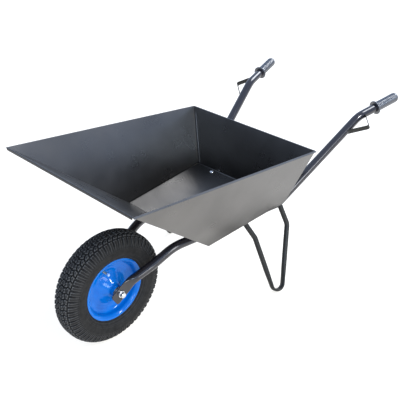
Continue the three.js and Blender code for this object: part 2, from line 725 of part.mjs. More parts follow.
function tyre() {
  const half = [
    [TYRE_R, 10], [TYRE_R - 3, 24], [TYRE_R - 10, 34.5], [TYRE_R - 21, 42.5],
    [162, 47], [150, TYRE_HALF_WIDTH], [136, 45], [123, 39.5], [115, 33.4], [109, 31.3],
    [BEAD_SEAT_R + GAP, 27.4], [BEAD_SEAT_R + GAP, 21], [112, 26],
    [134, 40], [152, 43.2], [172, 38.6], [188, 25], [193, 8],
  ];
  const mirror = half.map(([radius, y]) => [radius, -y]).reverse();
  return turned([...half, ...mirror], 44, true);
}

// One pressed half of the rim: bead flange, bead seat, dished web and hub collar.
function rimHalf() {
  const collar = HUB_R + GAP;
  const face = [
    [RIM_FLANGE_R, RIM_FACE - 1.5], [RIM_FLANGE_R - 3, RIM_FACE], [RIM_FLANGE_R - 8, RIM_FACE - 1],
    [BEAD_SEAT_R - RIM_SHEET, RIM_FACE - 8], [BEAD_SEAT_R - 4, 13],
    [BEAD_SEAT_R - 9, 6], [64, 2.6], [56, 5], [40, 16], [28, 27], [25, 30], [collar, 30],
  ];
  const back = [
    [collar, 27], [22.5, 27], [26, 24.8], [38, 13.6], [54, 3], [60, 0.4], [86, 0.4],
    [BEAD_SEAT_R - 4, 6], [BEAD_SEAT_R - 1.5, 8], [BEAD_SEAT_R, 14],
    [BEAD_SEAT_R, RIM_FACE - 7], [RIM_FLANGE_R - 5, RIM_FACE - 3.2],
  ];
  return [...face, ...back];
}

const VALVE = { radius: 70, angle: THREE.MathUtils.degToRad(102), stem: 4, cap: 5 };

function valveAt(piece) {
  const place = new THREE.Vector3(Math.cos(VALVE.angle), 0, Math.sin(VALVE.angle));
  place.multiplyScalar(VALVE.radius);
  return piece.translate(place.x, 0, place.z);
}

add(wheel, 'tyre', tyre(), RUBBER);
for (const { name, sign } of sides) {
  const outerRace = washerRing(RACE_SPLIT_R + GAP, BEARING_R, BEARING_IN, BEARING_OUT);
  const half = turned(rimHalf(), 40, true);
  const valveHole = valveAt(crossPin(VALVE.stem + GAP, 0.1, 12, 12));
  add(wheel, `rim_${name}`, sign > 0 ? half : carve(mirrored(half), [mirrored(valveHole)]), RIM_PAINT);
  add(wheel, `bearing_outer_race_${name}`, sign > 0 ? outerRace : mirrored(outerRace), ZINC);
}
add(wheel, 'hub_tube', washerRing(BEARING_R + GAP, HUB_R, -HUB_HALF, HUB_HALF, 32), RIM_PAINT);
add(wheel, 'valve_stem', valveAt(crossPin(VALVE.stem, -24, -0.8, 12)), BRASS);
const capOutline = [
  [0, -33], [VALVE.cap - 1.4, -33], [VALVE.cap, -31.5], [VALVE.cap, -24 - GAP], [0, -24 - GAP],
];
add(wheel, 'valve_cap', valveAt(turned(capOutline, 12)), RUBBER);

// ---------------------------------------------------------------- origin

// Under the middle of the barrow's length and width, on the ground.
const extent = new THREE.Box3().setFromObject(barrow, true);
barrow.position.x = -(extent.min.x + extent.max.x) / 2;

export default barrow;
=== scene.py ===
"""A builder's wheelbarrow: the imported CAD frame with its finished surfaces.

Metres, in the row frame: +X from the wheel to the grips, +Z up, and +Y to the right of
a person at the grips. Shapes are drawn in millimetres from the axle and then placed.
"""

import json
import math

import bmesh
import bpy
import numpy as np
from mathutils import Matrix, Vector


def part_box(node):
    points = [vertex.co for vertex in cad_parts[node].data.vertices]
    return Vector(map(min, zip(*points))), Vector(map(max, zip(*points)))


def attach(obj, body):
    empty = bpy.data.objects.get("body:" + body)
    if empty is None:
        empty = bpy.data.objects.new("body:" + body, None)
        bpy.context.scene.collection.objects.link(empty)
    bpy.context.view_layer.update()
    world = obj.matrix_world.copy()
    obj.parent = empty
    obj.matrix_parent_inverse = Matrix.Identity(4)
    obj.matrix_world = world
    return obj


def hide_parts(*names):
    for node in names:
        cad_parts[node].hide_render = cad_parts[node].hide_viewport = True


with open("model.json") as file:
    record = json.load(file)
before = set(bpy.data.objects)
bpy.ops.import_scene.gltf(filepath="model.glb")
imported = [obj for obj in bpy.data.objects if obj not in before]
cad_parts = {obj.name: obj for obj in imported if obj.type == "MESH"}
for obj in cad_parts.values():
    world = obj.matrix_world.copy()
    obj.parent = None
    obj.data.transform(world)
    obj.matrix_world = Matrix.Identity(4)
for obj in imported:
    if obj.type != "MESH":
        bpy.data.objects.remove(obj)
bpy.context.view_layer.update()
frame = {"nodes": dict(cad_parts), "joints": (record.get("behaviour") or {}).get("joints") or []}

# ------------------------------------------------------------------ driving dimensions

MM = 0.001
AXLE = np.array(frame["joints"][0]["pos_m"])
SIDES = {"right": 1, "left": -1}

TYRE_R = (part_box("tyre")[1].z - AXLE[2]) / MM
TYRE_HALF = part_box("tyre")[1].y / MM
RIM_R = (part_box("rim_left")[1].z - AXLE[2]) / MM
RIM_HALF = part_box("rim_right")[1].y / MM
HUB_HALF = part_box("hub_tube")[1].y / MM
HUB_R = 20

TUBE_R = 16
SPLAY = math.atan(0.2064)  # each handle tube spreads outwards by this angle
FORK_HALF = 54.2
TUBE_LEVEL = 289.5
TUBE_KNEE = 655  # the tube is level up to here and climbs behind it
TUBE_WRIST = 1026  # from here back to the grip it rises only a little
TUBE_CLIMB = 0.63
PLATE_OUT = 64
PLATE_TILT = math.radians(29)
PLATE_AHEAD = 30
GRIP_END = (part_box("grip_left")[1].x - AXLE[0]) / MM - 3.4
GRIP_RISE = 0.141
GRIP_LENGTH = 112
LEG_R = 9.5
LEG_FOOT = 562.5
LEG_LEAN = math.radians(23.4)
FLOOR_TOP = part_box("tray_bolt_left")[1].z / MM - 5.2  # upper side of the tray's floor
FLOOR_FRONT = 276
FLOOR_BACK = 656
FLOOR_BEND = 308.7
BACK_RIM = 513
BACK_RIM_X = 720
NUT_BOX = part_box("tray_nut_left")
BOLT_X = ((NUT_BOX[0].x + NUT_BOX[1].x) / 2 - AXLE[0]) / MM
BOLT_Y = 129


def place(points):
    """Millimetres from the axle (x) and the ground (z) to metres in the row frame."""
    points = np.asarray(points, float) * MM
    return points + np.array([AXLE[0], 0, 0])


# ------------------------------------------------------------------ node materials


class Nodes:
    """A short way to write a shader tree."""

    def __init__(self, name):
        self.material = bpy.data.materials.new(name)
        self.material.use_nodes = True
        self.tree = self.material.node_tree
        self.shader = self.tree.nodes["Principled BSDF"]
        self.coords = self.tree.nodes.new("ShaderNodeTexCoord").outputs["Object"]

    def link(self, source, target):
        self.tree.links.new(source, target)

    def new(self, kind, values=None, **settings):
        node = self.tree.nodes.new(kind)
        for key, value in settings.items():
            setattr(node, key, value)
        for key, value in (values or {}).items():
            socket = node.inputs[key]
            if isinstance(value, bpy.types.NodeSocket):
                self.link(value, socket)
            else:
                socket.default_value = value
        return node

    def stretched(self, scale):
        return self.new("ShaderNodeMapping", {"Vector": self.coords, "Scale": scale}).outputs[0]

    def noise(self, scale, detail=3.0, rough=0.55, at=None):
        values = {"Vector": at or self.coords, "Scale": scale, "Detail": detail, "Roughness": rough}
        return self.new("ShaderNodeTexNoise", values).outputs["Fac"]

    def spread(self, value, low, high, to_low=0.0, to_high=1.0):
        values = {"Value": value, "From Min": low, "From Max": high, "To Min": to_low, "To Max": to_high}
        return self.new("ShaderNodeMapRange", values, interpolation_type="SMOOTHSTEP").outputs[0]

    def math(self, operation, a, b=0.0):
        node = self.new("ShaderNodeMath", operation=operation)
        for socket, value in zip(node.inputs, (a, b)):
            if isinstance(value, bpy.types.NodeSocket):
                self.link(value, socket)
            else:
                socket.default_value = value
        return node.outputs[0]

    def mix(self, factor, a, b):
        node = self.new("ShaderNodeMix", data_type="RGBA")
        for socket, value in zip((node.inputs[0], node.inputs[6], node.inputs[7]), (factor, a, b)):
            if isinstance(value, bpy.types.NodeSocket):
                self.link(value, socket)
            elif isinstance(value, (int, float)):
                socket.default_value = value
            else:
                socket.default_value = (*value, 1)
        return node.outputs[2]

    def bump(self, height, strength, distance, before=None):
        values = {"Height": height, "Strength": strength, "Distance": distance}
        node = self.new("ShaderNodeBump", values)
        if before:
            self.link(before, node.inputs["Normal"])
        return node.outputs[0]

    def finish(self, colour, roughness, normal=None, **constants):
        self.link(colour, self.shader.inputs["Base Color"])
        self.link(roughness, self.shader.inputs["Roughness"])
        if normal:
            self.link(normal, self.shader.inputs["Normal"])
        for key, value in constants.items():
            self.shader.inputs[key.replace("_", " ")].default_value = value
        return self.material


def shade(colour, factor):
    return tuple(channel * factor for channel in colour)


FOLD_LOW = (FLOOR_TOP + 0.5) * MM  # painted shade sits in the fold between these two heights
FOLD_HIGH = (FLOOR_TOP + 6.5) * MM
WALL_SHADE_RISE = 0.085  # how far the painted shade low on the walls climbs
LIP_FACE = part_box("tray_pan")[0].x  # outer face of the front lip, darkened with painted shade

GRAPHITE = (0.145, 0.139, 0.132)
DUSTY_GRAPHITE = (0.148, 0.138, 0.122)
PAINTED_CREASE_SHADE = (0.02, 0.019, 0.017)
PAINTED_WALL_SHADE = (0.056, 0.054, 0.050)
PAINTED_LIP_SHADE = (0.018, 0.018, 0.020)
ENAMEL_DUST = (0.11, 0.105, 0.095)
BARE_CHIP = (0.16, 0.155, 0.15)
RIM_BLUE = (0.0, 0.142, 0.50)
RIM_BLUE_DEEP = (0.0, 0.110, 0.42)
RIM_DUST = (0.16, 0.2, 0.3)
RUBBER_BROWN = (0.0155, 0.0142, 0.0126)
RUBBER_BLACK = (0.0085, 0.0078, 0.007)
RUBBER_DUST = (0.052, 0.05, 0.046)
RUBBER_WEAR_AND_HIGHLIGHT = (0.17, 0.165, 0.155)
GRIP_INK = (0.012, 0.015, 0.022)
GRIP_BLACK = (0.008, 0.010, 0.015)


def sheet_paint():
    """Satin graphite paint on folded sheet, with painted shade in the folds, low on the walls and on the
    front lip's face.
    """
    n = Nodes("tray_paint_visual")
    smudge = n.spread(n.noise(5.5, 2, 0.5), 0.35, 0.75)
    streak = n.noise(34, 2, 0.5, n.stretched((1.2, 1.2, 0.12)))
    grime = n.spread(n.noise(2.2, 2), 0.45, 0.7)
    colour = n.mix(smudge, shade(GRAPHITE, 1.06), shade(GRAPHITE, 0.88))
    colour = n.mix(n.math("MULTIPLY", streak, 0.22), colour, shade(GRAPHITE, 0.85))
    colour = n.mix(n.math("MULTIPLY", grime, 0.25), colour, DUSTY_GRAPHITE)
    spot = n.new("ShaderNodeSeparateXYZ", {"Vector": n.coords})
    height = spot.outputs["Z"]
    crease = n.math("MULTIPLY", n.spread(height, FOLD_LOW, FOLD_LOW + 0.0006),
                    n.spread(height, FOLD_HIGH - 0.003, FOLD_HIGH, 1, 0))
    # painted shade: the fold between the floor and the walls is darkened
    colour = n.mix(n.math("MULTIPLY", crease, 0.7), colour, PAINTED_CREASE_SHADE)
    normal = n.new("ShaderNodeNewGeometry").outputs["Normal"]
    facing = n.new("ShaderNodeSeparateXYZ", {"Vector": normal})
    upright = n.spread(n.math("ABSOLUTE", facing.outputs["Z"]), 0.5, 0.85, 1, 0)
    # painted shade: upright faces are darker towards the bottom of the walls, patchy by noise
    wall_shade = n.spread(height, FOLD_LOW, FOLD_LOW + WALL_SHADE_RISE, 1, 0)
    wall_shade = n.math("MULTIPLY", wall_shade, n.spread(n.noise(7, 2), 0.35, 0.62, 0.35, 1))
    wall_shade = n.math("MULTIPLY", wall_shade, upright)
    colour = n.mix(n.math("MULTIPLY", wall_shade, 0.75), colour, PAINTED_WALL_SHADE)
    # painted shade: the outward face of the front lip is darkened
    lip_shade = n.spread(spot.outputs["X"], LIP_FACE + 0.0004, LIP_FACE + 0.0014, 1, 0)
    colour = n.mix(n.math("MULTIPLY", lip_shade, 0.9), colour, PAINTED_LIP_SHADE)
    rough = n.spread(n.noise(14, 2, 0.5), 0.25, 0.8, 0.27, 0.32)
    peel = n.bump(n.noise(850, 2), 0.025, 0.0002)
    waves = n.bump(n.noise(5, 2), 0.04, 0.001, peel)
    return n.finish(colour, rough, waves, Metallic=1.0)


def tube_paint(name, base, low, high, coat, gloss=0.5):
    """Enamel on tube and bar: gloss with slight runs, dust specks and small chips."""
    n = Nodes(name)
    tone = n.spread(n.noise(18, 3), 0.3, 0.75)
    colour = n.mix(tone, shade(base, 1.15), shade(base, 0.8))
    dust = n.spread(n.noise(420, 3, 0.7), 0.64, 0.8, 0, 0.5)
    colour = n.mix(dust, colour, ENAMEL_DUST)
    chip = n.spread(n.noise(95, 5, 0.75), 0.73, 0.75)
    colour = n.mix(chip, colour, BARE_CHIP)
    rough = n.spread(n.noise(48, 4), 0.3, 0.75, low, high)
    rough = n.math("ADD", rough, n.math("MULTIPLY", chip, 0.25))
    peel = n.bump(n.noise(620, 2), 0.08, 0.0003)
    runs = n.bump(n.noise(60, 2, 0.5, n.stretched((1, 1, 0.3))), 0.12, 0.0006, peel)
    return n.finish(colour, rough, runs, Specular_IOR_Level=gloss,
                    Coat_Weight=coat, Coat_Roughness=0.12)


def rim_paint():
    """Bright blue enamel with a touch of road dust."""
    n = Nodes("rim_paint_visual")
    tone = n.spread(n.noise(22, 3), 0.3, 0.75)
    colour = n.mix(tone, RIM_BLUE, RIM_BLUE_DEEP)
    dust = n.spread(n.noise(160, 4, 0.7), 0.62, 0.85, 0, 0.25)
    colour = n.mix(dust, colour, RIM_DUST)
    rough = n.spread(n.noise(60, 4), 0.3, 0.75, 0.12, 0.2)
    peel = n.bump(n.noise(380, 2), 0.05, 0.0004)
    return n.finish(colour, rough, peel, Specular_IOR_Level=0.22,
                    Coat_Weight=0.12, Coat_Roughness=0.06)


def rubber():
    """Moulded tyre rubber with dust, lighter along its raised edges: partly wear, partly a painted
    highlight.
    """
    n = Nodes("tyre_rubber_visual")
    mottled = n.spread(n.noise(30, 5, 0.65), 0.3, 0.75)
    colour = n.mix(mottled, RUBBER_BROWN, RUBBER_BLACK)
    dust = n.spread(n.noise(110, 5, 0.75), 0.55, 0.8, 0, 0.5)
    colour = n.mix(dust, colour, RUBBER_DUST)
    # partly a painted highlight: raised edges are lightened as if catching light, partly wear
    edge = n.spread(n.new("ShaderNodeNewGeometry").outputs["Pointiness"], 0.505, 0.58, 0, 0.7)
    colour = n.mix(edge, colour, RUBBER_WEAR_AND_HIGHLIGHT)
    rough = n.spread(n.noise(75, 4), 0.3, 0.75, 0.62, 0.85)
    grain = n.bump(n.noise(900, 4, 0.7), 0.35, 0.0004)
    return n.finish(colour, rough, grain, Specular_IOR_Level=0.2)


def grip_plastic():
    """Soft moulded plastic with a fine leathery grain."""
    n = Nodes("grip_plastic_visual")
    tone = n.spread(n.noise(40, 3), 0.3, 0.75)
    colour = n.mix(tone, GRIP_INK, GRIP_BLACK)
    rough = n.spread(n.noise(90, 4), 0.3, 0.75, 0.3, 0.4)
    grain = n.bump(n.noise(1100, 3, 0.6), 0.08, 0.0003)
    return n.finish(colour, rough, grain, Specular_IOR_Level=0.9,
                    Coat_Weight=0.8, Coat_Roughness=0.15)


def plated(name, base, low, high):
    """Turned and plated metal: fine lay lines and dull patches."""
    n = Nodes(name)
    patch = n.spread(n.noise(160, 4, 0.6), 0.35, 0.8)
    colour = n.mix(patch, base, shade(base, 0.72))
    lay = n.noise(900, 2, 0.5, n.stretched((1, 6, 1)))
    rough = n.math("ADD", n.spread(patch, 0, 1, low, high), n.math("MULTIPLY", lay, 0.06))
    return n.finish(colour, rough, n.bump(lay, 0.15, 0.0001), Metallic=0.95)


SHEET = sheet_paint()
FRAME_PAINT = tube_paint("frame_paint_visual", (0.011, 0.009, 0.011), 0.12, 0.18, 0.35)
LEG_PAINT = tube_paint("leg_paint_visual", (0.0125, 0.0118, 0.0092), 0.4, 0.55, 0.0, 0.28)
RIM = rim_paint()
RUBBER = rubber()
GRIP = grip_plastic()
ZINC = plated("zinc_visual", (0.78, 0.79, 0.8), 0.2, 0.36)
STEEL = plated("bearing_steel_visual", (0.55, 0.56, 0.58), 0.22, 0.4)
BRASS = plated("valve_brass_visual", (0.93, 0.80, 0.52), 0.3, 0.45)
CAP = tube_paint("valve_cap_visual", (0.35, 0.5, 0.8), 0.25, 0.35, 0.3)

# ------------------------------------------------------------------ mesh building


def smoothstep(value, low, high):
    t = np.clip((np.asarray(value, float) - low) / (high - low), 0, 1)
    return t * t * (3 - 2 * t)


def lerp(a, b, t):
    return a + (b - a) * t


def add_piece(name, verts, faces, body, material, replaces=(), crease=40):
    """One mesh object in millimetres from the axle, made outward-facing and smooth."""
    mesh = bpy.data.meshes.new(name)
    mesh.from_pydata(place(verts).tolist(), [], [list(map(int, face)) for face in faces])
    work = bmesh.new()
    work.from_mesh(mesh)
    bmesh.ops.recalc_face_normals(work, faces=work.faces)
    work.to_mesh(mesh)
    work.free()
    mesh.polygons.foreach_set("use_smooth", [True] * len(mesh.polygons))
    mesh.set_sharp_from_angle(angle=math.radians(crease))
    mesh.materials.append(material)
    made = bpy.data.objects.new(name, mesh)
    bpy.context.scene.collection.objects.link(made)
    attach(made, body)
    if replaces:
        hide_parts(*replaces)
    return made


def grid_faces(rows, columns, wrap_rows=False, wrap_columns=True):
    """Quads of a grid of vertices, closed round either way if asked."""
    r = np.arange(rows if wrap_rows else rows - 1)
    c = np.arange(columns if wrap_columns else columns - 1)
    rr, cc = np.meshgrid(r, c, indexing="ij")
    r2, c2 = (rr + 1) % rows, (cc + 1) % columns
    corners = [rr * columns + cc, rr * columns + c2, r2 * columns + c2, r2 * columns + cc]
    return np.stack(corners, -1).reshape(-1, 4).tolist()


def ring_mesh(rings):
    """Vertices and faces of a stack of equal rings, closed by a face at each end."""
    rings = np.asarray(rings, float)
    rows, columns = rings.shape[:2]
    faces = grid_faces(rows, columns)
    faces.append(list(range(columns)))
    faces.append([(rows - 1) * columns + i for i in range(columns)])
    return rings.reshape(-1, 3), faces


ARC_POINTS = 17


def rounded_path(corners, radii, step):
    """Evenly spaced points on straight runs with rounded corners, and how far along each is."""
    corners = [np.asarray(corner, float) for corner in corners]
    points = [corners[0]]
    for before, corner, after, radius in zip(corners, corners[1:], corners[2:], radii):
        back = (before - corner) / np.linalg.norm(before - corner)
        on = (after - corner) / np.linalg.norm(after - corner)
        half = math.acos(np.clip(back @ on, -1, 1)) / 2
        if math.pi - 2 * half < 0.001:
            continue
        middle = (back + on) / np.linalg.norm(back + on)
        centre = corner + middle * radius / math.sin(half)
        first = corner + back * radius / math.tan(half) - centre
        last = corner + on * radius / math.tan(half) - centre
        turn = math.pi - 2 * half
        for t in np.linspace(0, 1, ARC_POINTS):
            blend = math.sin((1 - t) * turn) * first + math.sin(t * turn) * last
            points.append(centre + blend / math.sin(turn))
    points.append(corners[-1])
    points = np.array(points)
    reach = np.concatenate([[0], np.cumsum(np.linalg.norm(np.diff(points, axis=0), axis=1))])
    count = max(2, int(round(reach[-1] / step)) + 1)
    even = np.linspace(0, reach[-1], count)
    return np.stack([np.interp(even, reach, column) for column in points.T], 1), even


def unit(vectors):
    return vectors / np.linalg.norm(vectors, axis=-1, keepdims=True)


def sweep(centres, across, outline):
    """Rings around a centre line. across is the second section axis at each station;
    outline(i) gives the section's points as (height, across) pairs."""
    tangents = unit(np.gradient(centres, axis=0))
    across = unit(across - tangents * np.sum(across * tangents, axis=1, keepdims=True))
    heights = np.cross(across, tangents)
    rings = []
    for i, centre in enumerate(centres):
        section = np.asarray(outline(i))
        rings.append(centre + section[:, :1] * heights[i] + section[:, 1:] * across[i])
    return np.array(rings)


def super_ellipse(half_height, half_width, power, count):
    """A closed section: an ellipse at power 2, nearer a rectangle above it."""
    angle = (np.arange(count) + 0.5) * 2 * math.pi / count
    c, s = np.cos(angle), np.sin(angle)
    height = np.sign(c) * np.abs(c) ** (2 / power) * half_height
    across = np.sign(s) * np.abs(s) ** (2 / power) * half_width
    return np.stack([height, across], 1)


def lathe(outline, segments, centre=(0, 0, 0), axis=(0, 1, 0)):
    """Turns (radius, along) pairs round an axis through centre. The outline is a loop."""
    axis = unit(np.array(axis, float))
    first = unit(np.cross(axis, (0.3, 0.1, 1.0)))
    second = np.cross(axis, first)
    outline = np.asarray(outline, float)
    angle = np.arange(segments) * 2 * math.pi / segments
    spokes = np.cos(angle)[:, None] * first + np.sin(angle)[:, None] * second
    verts = outline[:, None, :1] * spokes[None] + outline[:, None, 1:] * axis
    verts = verts + np.asarray(centre, float)
    return verts.reshape(-1, 3), grid_faces(len(outline), segments, wrap_rows=True)


def fillet_loop(corners, radii, steps=5):
    """A closed outline whose corners are rounded, as far as their sides leave room."""
    points = []
    total = len(corners)
    for i in range(total):
        neighbours = [corners[(i + k) % total] for k in (-1, 0, 1)]
        before, corner, after = (np.asarray(point, float) for point in neighbours)
        room = min(np.linalg.norm(before - corner), np.linalg.norm(after - corner)) * 0.48
        cut = min(radii[i], room)
        a = corner + unit(before - corner) * cut
        b = corner + unit(after - corner) * cut
        for t in np.linspace(0, 1, steps if cut > 0.01 else 1):
            points.append((1 - t) ** 2 * a + 2 * t * (1 - t) * corner + t * t * b)
    return points


def mirror(verts, sign):
    """The same points, or for sign -1 those on the other side of the barrow."""
    return np.asarray(verts) * np.array([1, sign, 1])


def in_side_frame(points):
    """Points beside the +Y tube (along it, out, height) to millimetres from the axle."""
    points = np.asarray(points, float)
    x = points[:, 0] * math.cos(SPLAY) - points[:, 1] * math.sin(SPLAY)
    y = FORK_HALF + points[:, 0] * math.sin(SPLAY) + points[:, 1] * math.cos(SPLAY)
    return np.stack([x, y, points[:, 2]], 1)


def pair(name, verts, faces, body, material, replaces=True, crease=40):
    """A piece on the right, and its mirror image on the left."""
    for side, sign in SIDES.items():
        nodes = (f"{name}_{side}",) if replaces else ()
        label = f"{name}_{side}_visual"
        add_piece(label, mirror(verts, sign), faces, body, material, nodes, crease)


# ------------------------------------------------------------------ handle tubes


PLATE_END = 52
RISE_BEND = (130, 252.5)  # the tube rises more steeply behind this point
LEVEL_START = 214
TUBE_BENDS = [110, 200, 150, 60, 100]
TUBE_SIDES = 40


def along(x):
    """Distance along a splayed tube for a distance behind the axle."""
    return x / math.cos(SPLAY)


def tube_height(x):
    """Height of the tube's centre line where it climbs."""
    return TUBE_LEVEL + TUBE_CLIMB * (x - TUBE_KNEE)


def grip_height(x):
    """Height of the tube's centre line behind the wrist, and so of the grip."""
    return tube_height(TUBE_WRIST) + GRIP_RISE * (x - TUBE_WRIST)


def tube_corners():
    """Corners of the tube's centre line, seen from the side, before they are rounded."""
    axle_height = AXLE[2] / MM
    start = -PLATE_AHEAD * math.cos(PLATE_TILT)
    knots = [(start, axle_height + start * math.tan(PLATE_TILT))]
    knots.append((PLATE_END, axle_height + PLATE_END * math.tan(PLATE_TILT) - 0.8))
    knots += [RISE_BEND, (LEVEL_START, TUBE_LEVEL), (TUBE_KNEE, TUBE_LEVEL)]
    knots.append((TUBE_WRIST, tube_height(TUBE_WRIST)))
    knots.append((GRIP_END - 10, grip_height(GRIP_END - 10)))
    return [(along(x), z) for x, z in knots]


def tube_line():
    """Centre line of the +Y tube, its arc lengths, and the sideways axis along it."""
    flat, reach = rounded_path(tube_corners(), TUBE_BENDS, 5)
    straighten = (PLATE_OUT - FORK_HALF) / math.sin(SPLAY)
    ahead = np.maximum(0, straighten - flat[:, 0])
    local = np.stack([flat[:, 0], ahead * math.tan(SPLAY), flat[:, 1]], 1)
    turn = SPLAY * smoothstep(flat[:, 0], straighten - 25, straighten + 25)
    across = np.stack([-np.sin(turn), np.cos(turn), np.zeros(len(turn))], 1)
    return in_side_frame(local), reach, across


def make_tubes():
    """Handle tubes, pressed flat at the front to a fork plate with rounded corners."""
    centres, reach, across = tube_line()
    plate_half_height, plate_half_thick = 24.3, 2.1

    def section(i):
        behind_axle = reach[i] - PLATE_AHEAD
        roundness = float(smoothstep(behind_axle, 26, 78))
        corner = 1 - 0.3 * float(1 - smoothstep(reach[i], 0, 8)) ** 2
        pressed = super_ellipse(plate_half_height * corner, plate_half_thick, 8, TUBE_SIDES)
        return lerp(pressed, super_ellipse(TUBE_R, TUBE_R, 2, TUBE_SIDES), roundness)

    verts, faces = ring_mesh(sweep(centres, across, section))
    pair("handle_tube", verts, faces, "frame", FRAME_PAINT, crease=50)


BEAD_SIDES = 10
DROP_PITCH = 4.2  # from one drop of weld to the next


def bead(points, radius, seed):
    """A weld bead along a line of points, with the ripples of its stacked drops."""
    random = np.random.default_rng(seed)
    points, reach = rounded_path(points, [2] * (len(points) - 2), 1.2)
    ripple = 1 + 0.18 * np.sin(reach * 2 * math.pi / DROP_PITCH) + random.normal(0, 0.05, len(reach))
    ends = np.minimum(1, np.minimum(reach, reach[-1] - reach) / 3 + 0.3)
    thickness = radius * ripple * ends
    axis = np.tile([0.31, 0.2, 0.93], (len(points), 1))

    def section(i):
        return super_ellipse(thickness[i], thickness[i], 2, BEAD_SIDES)

    return ring_mesh(sweep(points, axis, section))


# ------------------------------------------------------------------ legs


# Points of a leg: along the handle tube, and down from it in the leg's leaning plane.
LEG_TOP_FRONT = (504, 7)
LEG_TOP_REAR = (673.5, 7)
LEG_KNEE_FRONT = (536, 88)
LEG_KNEE_REAR = (685, 88)
KNEE_BEND = 34
FOOT_BEND = 25
LEG_DOWN = np.array([0, math.sin(LEG_LEAN), -math.cos(LEG_LEAN)])


def foot_corner(front, rear, lowest, radius):
    """Drop of the V's corner for which the rounded foot just reaches lowest."""
    corner = lowest + 80
    for _ in range(12):
        foot = np.array([LEG_FOOT, corner])
        a, b = unit(np.array(front) - foot), unit(np.array(rear) - foot)
        half = math.acos(a @ b) / 2
        centre = corner + unit(a + b)[1] * radius / math.sin(half)
        corner += lowest - (centre + radius)
    return corner


def make_legs():
    """Each leg: one tube bent to a V in a plane that leans outwards, its foot squashed."""
    flat, wide = 0.55, 1.22
    off_ground = 0.5
    low = math.hypot(LEG_R * flat * math.cos(LEG_LEAN), LEG_R * wide * math.sin(LEG_LEAN))
    lowest = (TUBE_LEVEL - low - off_ground) / math.cos(LEG_LEAN)
    foot = (LEG_FOOT, foot_corner(LEG_KNEE_FRONT, LEG_KNEE_REAR, lowest, FOOT_BEND))
    corners = [LEG_TOP_FRONT, LEG_KNEE_FRONT, foot, LEG_KNEE_REAR, LEG_TOP_REAR]
    path, _ = rounded_path(corners, [KNEE_BEND, FOOT_BEND, KNEE_BEND], 4)
    drop = path[:, 1]
    local = np.stack([path[:, 0], drop * LEG_DOWN[1], TUBE_LEVEL + drop * LEG_DOWN[2]], 1)
    normal = np.array([0, math.cos(LEG_LEAN), math.sin(LEG_LEAN)])
    squeeze = smoothstep(drop, lowest - 95, lowest - 18)

    def section(i):
        in_plane = LEG_R * lerp(1, flat, squeeze[i])
        across = LEG_R * lerp(1, wide, squeeze[i])
        return super_ellipse(in_plane, across, lerp(2, 2.5, squeeze[i]), 28)

    verts, faces = ring_mesh(sweep(local, np.tile(normal, (len(local), 1)), section))
    pair("leg", in_side_frame(verts), faces, "frame", LEG_PAINT, crease=60)


def make_leg_welds():
    """A ring of weld where each end of a leg meets its handle tube."""
    saddle = 3.2  # the ring climbs this far up the round sides of the handle tube
    joints = {"front": (507.6, 0.33), "rear": (674.3, 0.14)}
    for end, (reach, lean) in joints.items():
        centre = np.array([reach, 0, TUBE_LEVEL]) + LEG_DOWN * (TUBE_R + 1.0)
        loop = []
        for a in np.linspace(0, 2 * math.pi * 0.97, 30):
            around = np.array([math.cos(a) * (LEG_R + 0.6), math.sin(a) * LEG_R, 0])
            lowered = lean * 8 * math.cos(a) - saddle * math.sin(a) ** 2
            loop.append(centre + around + LEG_DOWN * lowered)
        verts, faces = bead(loop, 1.5, 11)
        verts = in_side_frame(verts)
        pair(f"leg_weld_{end}", verts, faces, "frame", LEG_PAINT, False)


# ------------------------------------------------------------------ knuckle guards


GUARD_FRONT = 962
GUARD_APEX = 1024
GUARD_REAR = 1052
GUARD_ROOT = 10  # the strip starts this far out, inside the tube
GUARD_OUT = 61.3
STRIP_HALF_THICK = 1.5
STRIP_HALF_WIDE = 9.5


def make_guards():
    """A flat strip bent to a V beside each handle, with rounded edges and welded ends."""
    def knot(x, out):
        return np.array([along(x), out, min(tube_height(x), grip_height(x))])

    first = knot(GUARD_FRONT, GUARD_ROOT)
    apex = knot(GUARD_APEX, GUARD_OUT)
    last = knot(GUARD_REAR, GUARD_ROOT)
    apex[2] = (first[2] + last[2]) / 2
    path, _ = rounded_path([first, apex, last], [7], 2.5)
    normal = unit(np.cross(last - first, (0, 1, 0)))
    strip = [(-STRIP_HALF_THICK, -STRIP_HALF_WIDE), (STRIP_HALF_THICK, -STRIP_HALF_WIDE)]
    strip += [(STRIP_HALF_THICK, STRIP_HALF_WIDE), (-STRIP_HALF_THICK, STRIP_HALF_WIDE)]
    outline = fillet_loop(strip, [0.7] * 4, 4)
    rings = sweep(path, np.tile(normal, (len(path), 1)), lambda i: outline)
    verts, faces = ring_mesh(rings)
    pair("knuckle_guard", in_side_frame(verts), faces, "frame", LEG_PAINT)
    to_surface = TUBE_R - GUARD_ROOT + 0.5
    rise = normal * (STRIP_HALF_WIDE - 0.5)
    for end, start in (("front", first), ("rear", last)):
        lean = unit(apex - start)
        root = start + lean * to_surface / max(0.3, abs(lean[1]))
        verts, faces = bead([root - rise, root, root + rise], 1.7, 5)
        verts = in_side_frame(verts)
        pair(f"guard_weld_{end}", verts, faces, "frame", FRAME_PAINT, False)


# ------------------------------------------------------------------ grips


